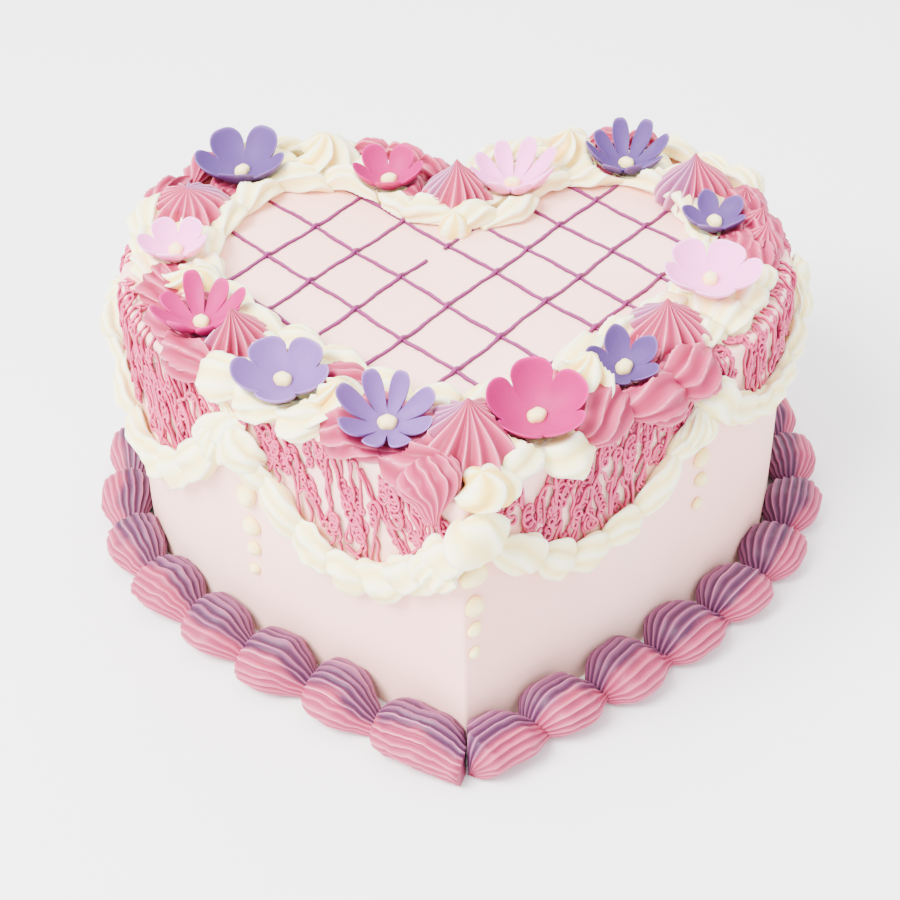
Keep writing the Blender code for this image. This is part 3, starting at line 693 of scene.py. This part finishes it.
def make_dots():
    """Drops of cream that hang in rows under the swags' meeting points, each with a small peak."""
    piece = Piece()
    for junction in range(-SWAGS_A_SIDE + 1, SWAGS_A_SIDE):
        s0 = junction * PITCH + DOT_SHIFTS.get(junction, 0)
        for number, (width, below) in enumerate(DOTS):
            rng = np.random.default_rng(40 * junction + number + 400)
            z0 = CAKE_HEIGHT - DOT_TOPS[junction] - below
            angles = np.linspace(0, TAU, 28, endpoint=False)[None, :]
            lift = np.linspace(-0.12, 1, 12)[:, None]
            size = np.sqrt(np.clip(1 - np.clip(lift, 0, 1) ** 2.2, 0, 1)) * (1 - 0.12 * (lift < 0))
            lump = 0.10 if number == 0 else 0.04
            lumps = 1 + lump * np.sin(angles * 2 + rng.uniform(0, TAU))
            lumps = lumps + lump * 0.6 * np.sin(angles * 3 + rng.uniform(0, TAU))
            size = size * lumps
            across = size * width / 2 * np.cos(angles) + 0.0006 * np.sin(lift * 2 + rng.uniform(0, TAU))
            up = size * width / 2 * np.sin(angles) * 1.05
            out = lift * width * 0.42 + 0 * angles
            # Painted shade at the back of each drop by the wall and a painted highlight towards its front
            crest = 0.35 + 0.5 * np.clip(lift, 0, 1) + 0 * angles
            piece.grid(OUTLINE.place(s0 + across, out, z0 + up), crest=crest)
    return piece.build("hanging_dots", DOT, "cream_piping", "cake")


def make_base_shells():
    """The two-tone shells round the foot, each with its head on the tail of the one before."""
    path = OUTLINE.offset(BASE_OUT + CLEFT_FILLET).offset(-CLEFT_FILLET)
    pitch = path.length / (BASE_SHELLS - 1 + BASE_LAST)
    ways, widths = np.array(BASE_WIDTHS).T
    for number in range(BASE_SHELLS):
        rng = np.random.default_rng(600 + number)
        last = number == BASE_SHELLS - 1
        length = pitch * (BASE_LAST if last else 1.14)
        height = 0.0172 * rng.uniform(0.95, 1.02)
        head, hold, tail = BASE_FIRST_FORM if number == 0 else BASE_LAST_FORM if last else BASE_FORM
        local, crest, angle = shell(
            length, 1, height, 19, 0.18, 0.7, number,
            head=head, hold=hold, tail=tail, per=7, rows=28, loose=0.6, flat_foot=0.5,
        )
        s = number * pitch + (0.0006 if number == 0 else -0.0012) + local[..., 0]
        around = np.minimum(s % path.length, -s % path.length) * 2 / path.length
        width = np.interp(around, ways, widths) * rng.uniform(0.97, 1.03)
        out = BASE_HALF_WIDTH * (width - 1 + width * local[..., 1])
        # The tail runs down to the foot of the next head.
        z = local[..., 2] - 0.0014 * smooth(0.6, 1.0, local[..., 0] / length)
        waves = Waves(number + 50, 0.006)
        points = path.place(s, out, np.maximum(z, 0))
        points += 0.00018 * waves(points)[..., None]
        points[..., 2] = np.maximum(points[..., 2], 0)
        if number == 0 or last:
            side = 1 if number == 0 else -1
            points[..., 0] = side * np.maximum(side * points[..., 0], 0.0003)
        low = math.radians(63 + 12 * rng.uniform(-1, 1))
        tone = smooth(-0.25, 0.22, np.sin(angle - low) + 0.14 * waves(points * 0.5))
        piece = Piece()
        piece.grid(points, crest=crest, tone=tone)
        name = f"base_shell_{number + 1:02d}"
        piece.build("piped_" + name, BASE, "two_tone_piping", name)


def swirl(
    piece, x, y, radius, height, ridges, depth, power, twist, profile, seed, *,
    per, lean=0.0, tone_way=None, rows=40, loose=0.0,
):
    """A piped swirl that runs up to a point, its ridges turning by the twist on the way."""
    rng = np.random.default_rng(seed)
    t = np.linspace(0, 1, rows)[:, None]
    v = np.linspace(0, TAU, ridges * per, endpoint=False)[None, :]
    shares, sizes = np.array(profile).T
    size = np.interp(t, shares, sizes)
    size = np.concatenate([size[:1], (size[:-2] + 2 * size[1:-1] + size[2:]) / 4, size[-1:]])
    ridge = np.abs(np.sin(ridges * v / 2)) ** power
    uneven = 1 + 0.3 * np.sin(v * 3 + rng.uniform(0, TAU)) + 0.25 * np.sin(v * 7 + rng.uniform(0, TAU))
    deep = depth * uneven
    deep = deep * np.interp(t, (0, 0.08, 0.5, 0.9, 1), (0.7, 1.0, 1.15, 0.9, 0.2))
    reach = radius * size * (1 - deep * ridge) * (1 + (0.03 + loose) * np.sin(2 * v + rng.uniform(0, TAU)))
    angle = v + twist * t**0.8 + 0.05 * np.sin(v * 4 + rng.uniform(0, TAU))
    way = rng.uniform(0, TAU)
    drift = lean * radius * t**2
    px = x + reach * np.cos(angle) + drift * math.cos(way)
    py = y + reach * np.sin(angle) + drift * math.sin(way)
    skirt = 0.05 * height * np.sin(ridges * v + 1) * np.exp(-((t / 0.10) ** 2))
    pz = CAKE_HEIGHT + height * t + skirt + 0 * reach - 0.0006
    points = np.stack([px, py, pz], -1)
    wobble = loose * 0.006 * Waves(seed, 0.009)(points)[..., None]
    points += wobble * np.sin(math.pi * np.clip(t, 0, 1))[..., None]
    tone = 0.0
    if tone_way is not None:
        tone = 0.85 * smooth(0.35, 0.85, np.cos(angle - math.radians(tone_way))) + 0 * reach
    # Painted shade in the hollows and a painted highlight on the crests, dimmer at the tip
    crest = (1 - ridge) * np.interp(t, (0, 0.9, 1), (1, 1, 0.7)) + 0 * reach
    piece.grid(press(points), crest=crest, tone=tone)


KISS_PROFILE = (
    (0, 0.82), (0.06, 0.93), (0.15, 1.0), (0.28, 1.0), (0.40, 0.93), (0.52, 0.78),
    (0.63, 0.58), (0.73, 0.38), (0.82, 0.22), (0.91, 0.10), (1.0, 0.015),
)
CREAM_PROFILE = (
    (0, 0.92), (0.12, 1.0), (0.32, 0.98), (0.52, 0.86),
    (0.70, 0.66), (0.85, 0.40), (0.94, 0.22), (1.0, 0.03),
)
LOW_PROFILE = ((0, 0.92), (0.2, 1.0), (0.5, 0.92), (0.75, 0.70), (0.92, 0.38), (1.0, 0.05))
# The side on which each pink swirl turns mauve, in degrees
KISS_TONES = {
    "kiss_point": 150, "kiss_right": 130, "kiss_right_back": 200,
    "kiss_cleft": 170, "kiss_left_back": 60, "kiss_left": 170,
}


def make_swirls():
    """The pointed pink swirls and the softer cream ones."""
    for number, (name, x, y, radius, height) in enumerate(KISSES):
        piece = Piece()
        profile = LOW_PROFILE if height < radius else KISS_PROFILE
        swirl(
            piece, x, y, radius * 1.05, height * 1.05, 17, 0.19, 0.8, 0.22, profile, number + 20,
            lean=0.02, tone_way=KISS_TONES[name], per=9,
        )
        piece.build("piped_" + name, PINK, "pink_piping", name)
    for number, (name, x, y, radius, height) in enumerate(CREAMS + (CORNER_ROSETTE,)):
        piece = Piece()
        profile = LOW_PROFILE if height < radius else CREAM_PROFILE
        folds = (4, 0.20, 1.1, 1.3) if name == "cream_point" else (6, 0.36, 0.95, 2.4)
        swirl(
            piece, x, y, radius * 1.05, height, *folds, profile, number + 60,
            lean=0.18, per=16, rows=48, loose=0.09,
        )
        piece.build("piped_" + name, CREAM, "cream_piping", name)


def flower_frame(flower):
    """Where a flower's middle is and how it tilts, as a matrix."""
    x, y, z = flower[3:6]
    tilt = flower[8]
    return np.array(Matrix.Translation((x, y, CAKE_HEIGHT + z)) @ Matrix.Rotation(math.radians(tilt), 4, "X"))


def press(points):
    """Presses piping down where a flower lies on it."""
    for flower in FLOWERS:
        matrix = flower_frame(flower)
        radius, cup = flower[6:8]
        local = (points - matrix[:3, 3]) @ matrix[:3, :3]
        far = np.hypot(local[..., 0], local[..., 1])
        limit = cup * (far / radius) ** 2 - 1.6 * PETAL_THICKNESS
        over = (far < radius * 0.98) & (local[..., 2] > limit)
        pressed = limit - 0.0004 * (1 - np.exp((limit - local[..., 2]) / 0.003))
        local[..., 2] = np.where(over, pressed, local[..., 2])
        points = local @ matrix[:3, :3].T + matrix[:3, 3]
    return points


def make_flowers():
    """The sugar flowers, one closed mesh each, with all their dots in one piece."""
    centres = Piece()
    for number, (name, colour, petals, x, y, z, radius, cup, tilt, turn) in enumerate(FLOWERS):
        rng = np.random.default_rng(number + 7)
        v = np.linspace(0, petals, petals * 22, endpoint=False)
        phi = (v % 1) - 0.5
        which = v.astype(int)
        scale = rng.uniform(0.93, 1.05, petals)[which]
        if petals == 5:
            least, power = NOTCHES[name]
            edge = least + (1 - least) * np.sqrt(np.clip(1 - np.abs(2 * phi) ** power, 0, 1))
        else:
            edge = 0.30 + 0.70 * np.clip(1 - np.abs(2.18 * phi) ** 2.8, 0, 1) ** 0.45
        angle = TAU / petals * (v - 0.5) + math.radians(turn)
        # Back petals stand up, and the front ones curl.
        rear = np.sin(angle)
        stand = 1 + 0.35 * smooth(0.2, 0.9, rear) + 0.30 * smooth(0.55, 0.95, -rear)
        spread = scale if petals == 8 else 1 + 0.5 * (scale - 1)
        reach = radius * edge * spread * (1 - 0.10 * (stand - 1) / 0.35)
        shares = np.array([0.02, 0.12, 0.25, 0.4, 0.55, 0.7, 0.82, 0.91, 0.965])
        bend = rng.uniform(-1, 1, petals)[which]

        def height(r):
            far = r / radius
            base = 1.25 * cup * stand * (0.6 * far**2 + 0.4 * far**4)
            cross = (2 * phi) ** 2 * far
            if petals == 5:
                return base + 0.0022 * cross * smooth(0.2, 0.9, far) + 0.0010 * bend * far**3
            return base + 0.0024 * cross * smooth(0.15, 0.6, far) + 0.0014 * bend * far**2

        def ring(share, lift):
            r = share * reach
            return np.column_stack([r * np.cos(angle), r * np.sin(angle), height(r) + lift])

        thick = PETAL_THICKNESS
        rings = [ring(share, 0) for share in shares]
        rim = ((1.0, 0.12), (1.025, 0.38), (1.025, 0.66), (0.995, 0.9))
        rings += [ring(share, -down * thick) for share, down in rim]
        rings += [ring(share, -thick) for share in shares[::-1]]
        points = np.stack(rings)
        # Painted shade in the middle of the cup and under the petals, and a painted highlight along the rims
        crests = [0.25 + 0.35 * share for share in shares] + [0.8, 0.9, 0.8, 0.6] + [0.2] * len(shares)
        matrix = flower_frame(FLOWERS[number])
        points = points @ matrix[:3, :3].T + matrix[:3, 3]
        piece = Piece()
        piece.grid(points[::-1], crest=np.array(crests[::-1])[:, None] + np.zeros(len(v))[None])
        piece.build("sugar_" + name, SUGAR[colour], "sugar_" + colour, name)
        # The dot in the middle
        a = np.linspace(0, TAU, 24, endpoint=False)[None, :]
        t = np.linspace(0, 1, 9)[:, None]
        lumps = 1 + 0.10 * np.sin(2 * a + number) + 0.05 * np.sin(5 * a)
        size = CENTRE_RADIUS * np.sqrt(np.clip(1 - t**3.0, 0, 1)) * lumps
        local = np.stack([size * np.cos(a), size * np.sin(a), 0.0031 * t - 0.0003 + 0 * a], -1)
        local[..., 0] += 0.0003 * t
        # Painted shade at the foot of each dot and a painted highlight on its top
        centres.grid(local @ matrix[:3, :3].T + matrix[:3, 3], crest=0.4 + 0.4 * t + 0 * a)
    centres.build("flower_centres", DOT, "cream_piping")


def make_inner_border():
    """Long soft blobs of cream that overlap round the lattice."""
    path = OUTLINE.offset(-INNER_INSET)
    pitch = path.length / INNER_SHELLS
    piece = Piece()
    for number in range(INNER_SHELLS):
        rng = np.random.default_rng(number + 300)
        length = pitch * rng.uniform(1.35, 1.65)
        half_width = 0.0068 * rng.uniform(0.88, 1.12)
        height = 0.0104 * rng.uniform(0.85, 1.08)
        local, crest, _ = shell(
            length, half_width, height, 5, 0.28, 0.9, number + 900,
            head=0.40, hold=0.45, tail=0.26, curl=1.3, per=12, rows=28, ruffle=0.2,
        )
        turn = rng.uniform(-0.20, 0.20)
        s = number * pitch + local[..., 0] * math.cos(turn) - local[..., 1] * math.sin(turn)
        share = (number + 0.5) / INNER_SHELLS
        # Beside the notch the border keeps clear of the lattice.
        back = 0.0045 * math.exp(-(((share - 0.545) / 0.045) ** 2))
        back += 0.0015 * math.exp(-(((share - 0.46) / 0.05) ** 2))
        out = local[..., 0] * math.sin(turn) + local[..., 1] * math.cos(turn) + 0.0016 + back
        points = path.place(s, out, CAKE_HEIGHT - 0.0004 + local[..., 2])
        points[..., 2] += 0.0005 * Waves(number, 0.009)(points)
        piece.grid(press(points), crest=0.25 + 0.75 * crest)
    # The ball at the notch
    swirl(piece, *NOTCH_BALL, 5, 0.06, 1.2, 0.4, LOW_PROFILE, 77, per=10)
    return piece.build("piped_inner_border", CREAM, "cream_piping", "inner_border")


def edge_kind(s):
    """Whether the piping over the top edge is pink or cream there."""
    s = (s + HALF_ROUND) % OUTLINE.length - HALF_ROUND
    for kind, start, end in EDGE_GROUPS:
        if start <= s < end:
            return kind
    return "cream"


def edge_bare(s):
    """1 where the piping leaves the edge bare, and 0 where it hangs over it."""
    s = (s + HALF_ROUND) % OUTLINE.length - HALF_ROUND
    start, end = EDGE_BARE["right" if s > 0 else "left"]
    return float(smooth(start - 0.004, start + 0.004, abs(s)) * smooth(end + 0.004, end - 0.004, abs(s)))


def make_edge_border():
    """Leaf shaped shells draped over the top edge in pink and cream groups, with a softer row behind them."""
    pieces = {"pink": Piece(), "cream": Piece()}

    def drape(kind, s, x, y, high, crest, seed):
        """Lays a shell over the top edge or beside it: x runs along the edge, y across it, out and down."""
        bare = edge_bare(s)
        tilt = math.radians(42 - 36 * bare)
        high = high - 0.0040 + 0.0012 * bare
        out = (1 - 0.15 * bare) * y * math.cos(tilt) + high * math.sin(tilt) - 0.0022 - 0.0088 * bare
        z = CAKE_HEIGHT - y * math.sin(tilt) + high * math.cos(tilt) + 0.0012
        points = OUTLINE.place(s + x, out, z)
        points += 0.0003 * Waves(seed, 0.008)(points)[..., None]
        pieces[kind].grid(press(points), crest=crest if kind == "pink" else 0.25 + 0.75 * crest)

    for group, (kind, start, end) in enumerate(EDGE_GROUPS):
        count = max(2, round((end - start) / EDGE_PITCH[kind]))
        pitch = (end - start) / count
        for number in range(count):
            seed = 100 * group + number
            rng = np.random.default_rng(seed)
            ridges, depth, power = (8, 0.30, 0.75) if kind == "pink" else (6, 0.30, 0.9)
            length = pitch * rng.uniform(1.45, 1.7)
            half_width = (0.0106 if kind == "pink" else 0.0094) * rng.uniform(0.92, 1.10)
            height = 0.0115 * rng.uniform(0.92, 1.08)
            local, crest, _ = shell(
                length, half_width, height, ridges, depth, power, seed + 3,
                head=0.40, hold=0.45, tail=0.16, curl=1.0, per=9, rows=26, ruffle=0.14,
            )
            turn = rng.uniform(-0.22, 0.22)
            x = local[..., 0] * math.cos(turn) - local[..., 1] * math.sin(turn) - 0.003
            y = local[..., 0] * math.sin(turn) + local[..., 1] * math.cos(turn)
            drape(kind, start + number * pitch, x, y, local[..., 2], crest, seed)

    # A swirl beside the point of the heart, whose ridges run down to its tail
    local, crest, _ = shell(
        0.0215, 0.0112, 0.0130, 12, 0.26, 0.8, 5,
        head=0.48, hold=0.5, tail=0.12, curl=1.7, per=12, rows=36, loose=0.4,
    )
    turn = 0.5
    along, across = local[..., 0] - 0.0085, local[..., 1]
    x = along * math.sin(turn) - across * math.cos(turn)
    y = along * math.cos(turn) + across * math.sin(turn)
    drape("pink", -0.0125, x, y, local[..., 2] + 0.0020, crest, 5)

    row = OUTLINE.offset(-BACK_ROW_INSET)
    for number in range(BACK_ROW_SHELLS):
        seed = 5000 + number
        rng = np.random.default_rng(seed)
        share = (number + 0.5) / BACK_ROW_SHELLS
        kind = edge_kind(share * OUTLINE.length)
        ridges, depth, power = (10, 0.24, 0.75) if kind == "pink" else (6, 0.30, 0.9)
        length = row.length / BACK_ROW_SHELLS * rng.uniform(1.4, 1.7)
        half_width = 0.0098 * rng.uniform(0.9, 1.1)
        height = 0.0110 * rng.uniform(0.85, 1.1)
        local, crest, _ = shell(
            length, half_width, height, ridges, depth, power, seed,
            head=0.42, hold=0.45, tail=0.2, curl=1.2, per=8, rows=22, ruffle=0.16,
        )
        turn = rng.uniform(-0.45, 0.45)
        s = share * row.length + local[..., 0] * math.cos(turn) - local[..., 1] * math.sin(turn) - length / 2
        out = local[..., 0] * math.sin(turn) + local[..., 1] * math.cos(turn)
        points = row.place(s, out, CAKE_HEIGHT - 0.0010 + local[..., 2])
        points[..., 2] += 0.0005 * Waves(seed, 0.009)(points)
        pieces[kind].grid(press(points), crest=crest if kind == "pink" else 0.25 + 0.75 * crest)
    for number, (x, y) in enumerate(EDGE_SWIRLS):
        swirl(
            pieces["pink"], x, y, 0.0088, 0.0135, 11, 0.24, 0.8, 0.5, KISS_PROFILE, number + 90,
            lean=0.3, per=9, rows=30,
        )
    pieces["pink"].build("piped_edge_pink", PINK, "pink_piping", "edge_border")
    pieces["cream"].build("piped_edge_cream", CREAM, "cream_piping", "edge_border")


def make_swag_border(side, way):
    """Cream shells that hang in swags, with a ridged fan and a broad ruffle at each meeting point."""
    piece = Piece()
    meetings = SWAG_MEETINGS[side]

    def hang(t, length, half_width, height, ridges, depth, power, seed, lean, start=0.46, curl=0.8, lift=0.0):
        """A shell on the wall whose middle is at t on the swag's line, turned from level by lean."""
        local, crest, _ = shell(
            length, half_width, height, ridges, depth, power, seed,
            head=0.42, hold=0.5, tail=0.22, curl=curl, per=9, rows=24, ruffle=0.15,
        )
        x, y, high = local[..., 0] - length * start, local[..., 1], local[..., 2]
        s = way * (t * PITCH + x * math.cos(lean) - y * math.sin(lean))
        z = float(swag_z(side, np.clip(t, 0, SWAGS_A_SIDE))) + lift + x * math.sin(lean) + y * math.cos(lean)
        points = OUTLINE.place(s, high - 0.0006, z)
        points += 0.0003 * Waves(seed, 0.008)(points)[..., None]
        piece.grid(points, crest=0.25 + 0.75 * crest)

    for swag in range(SWAGS_A_SIDE):
        for number in range(SWAG_SHELLS):
            seed = 40 * swag + number + (500 if way > 0 else 0)
            rng = np.random.default_rng(seed)
            t = float(np.interp(swag + (number + 0.5) / SWAG_SHELLS, range(SWAGS_A_SIDE + 1), meetings))
            slope = float(swag_slope(side, t))
            length = PITCH / SWAG_SHELLS * math.hypot(1, slope) * rng.uniform(1.5, 1.75)
            # The shells nearest the point stop at it.
            length *= 0.62 if swag == number == 0 else 1
            lean = math.atan(slope) + rng.uniform(-0.12, 0.12)
            half_width = 0.0082
            if side == "right":
                half_width = 0.0066 + 0.0016 * math.cos(math.pi * min(t, 1) / 2) ** 2
            half_width *= rng.uniform(0.94, 1.10)
            hang(t, length, half_width, 0.0088 * rng.uniform(0.9, 1.05), 5, 0.24, 0.95, seed + 11, lean)
    for junction, meeting in enumerate(meetings):
        for turn in (-1, 1):
            t = meeting + (JUNCTION_STEP if junction else POINT_STEPS[side]) * turn
            if not 0.02 < t < SWAGS_A_SIDE - 0.02:
                continue
            seed = 900 + 10 * junction + turn + (50 if way > 0 else 0)
            slope = float(swag_slope(side, t))
            if turn * way < 0:
                lean = math.radians(90 + 22 * turn)
                hang(t, 0.0185, 0.0084, 0.0100, 10, 0.24, 0.9, seed, lean, start=0.50, curl=0.4, lift=-0.001)
            else:
                lean = math.atan(slope) * 0.8
                hang(t, 0.0230, 0.0092, 0.0105, 5, 0.22, 1.2, seed, lean, start=0.48, lift=0.001)
    return piece.build(f"piped_swag_{side}", CREAM, "cream_piping", f"swag_border_{side}")


# Stage


def plain(name, colour, rough):
    material = bpy.data.materials.new(name)
    material.use_nodes = True
    shader = material.node_tree.nodes["Principled BSDF"]
    noise = material.node_tree.nodes.new("ShaderNodeTexNoise")
    noise.inputs["Scale"].default_value = 3
    ramp = material.node_tree.nodes.new("ShaderNodeValToRGB")
    for element, shade in zip(ramp.color_ramp.elements, (0.985, 1.0)):
        element.color = (*(c * shade for c in colour), 1)
    material.node_tree.links.new(noise.outputs["Fac"], ramp.inputs["Fac"])
    material.node_tree.links.new(ramp.outputs["Color"], shader.inputs["Base Color"])
    shader.inputs["Roughness"].default_value = rough
    return material


def make_stage():
    mesh = bpy.data.meshes.new("floor")
    mesh.from_pydata([(-6, -6, 0), (6, -6, 0), (6, 6, 0), (-6, 6, 0)], [], [(0, 1, 2, 3)])
    mesh.materials.append(plain("floor", (0.90, 0.90, 0.92), 0.8))
    floor = bpy.data.objects.new("floor", mesh)
    bpy.context.scene.collection.objects.link(floor)

    world = bpy.data.worlds.new("studio")
    world.use_nodes = True
    world.node_tree.nodes["Background"].inputs["Color"].default_value = (0.97, 0.97, 1.0, 1)
    world.node_tree.nodes["Background"].inputs["Strength"].default_value = 2.35
    bpy.context.scene.world = world

    for name, place, size, power, colour in (
        ("key", (-0.75, -0.55, 1.15), 0.8, 84, (1.0, 0.985, 0.96)),
        ("fill", (0.95, -0.75, 0.75), 1.1, 7, (0.97, 0.97, 1.0)),
        ("back", (0.15, 1.0, 1.1), 1.0, 20, (1.0, 1.0, 1.0)),
    ):
        data = bpy.data.lights.new(name, "AREA")
        data.size = size
        data.energy = power
        data.color = colour
        light = bpy.data.objects.new(name, data)
        light.location = place
        aim = Vector((0, 0, 0.06)) - Vector(place)
        light.rotation_euler = aim.to_track_quat("-Z", "Y").to_euler()
        bpy.context.scene.collection.objects.link(light)


def make_camera():
    """The camera fitted to the photograph."""
    data = bpy.data.cameras.new("camera")
    data.lens = CAMERA_LENS
    data.sensor_width = 36
    data.clip_start = 0.01
    camera = bpy.data.objects.new("camera", data)
    right = Vector((1, 0, 0))
    up = Vector((0, math.sin(CAMERA_PITCH), math.cos(CAMERA_PITCH)))
    forward = Vector((0, math.cos(CAMERA_PITCH), -math.sin(CAMERA_PITCH)))
    x = math.cos(CAMERA_ROLL) * right + math.sin(CAMERA_ROLL) * up
    y = -math.sin(CAMERA_ROLL) * right + math.cos(CAMERA_ROLL) * up
    matrix = Matrix((x, y, -forward)).transposed().to_4x4()
    matrix.translation = CAMERA_EYE
    camera.matrix_world = matrix
    bpy.context.scene.collection.objects.link(camera)
    bpy.context.scene.camera = camera


make_camera()
make_stage()
make_icing_body()
make_lattice()
for side, way in (("right", 1), ("left", -1)):
    make_strings(side, way)
    make_swag_border(side, way)
make_dots()
make_base_shells()
make_swirls()
make_flowers()
make_inner_border()
make_edge_border()
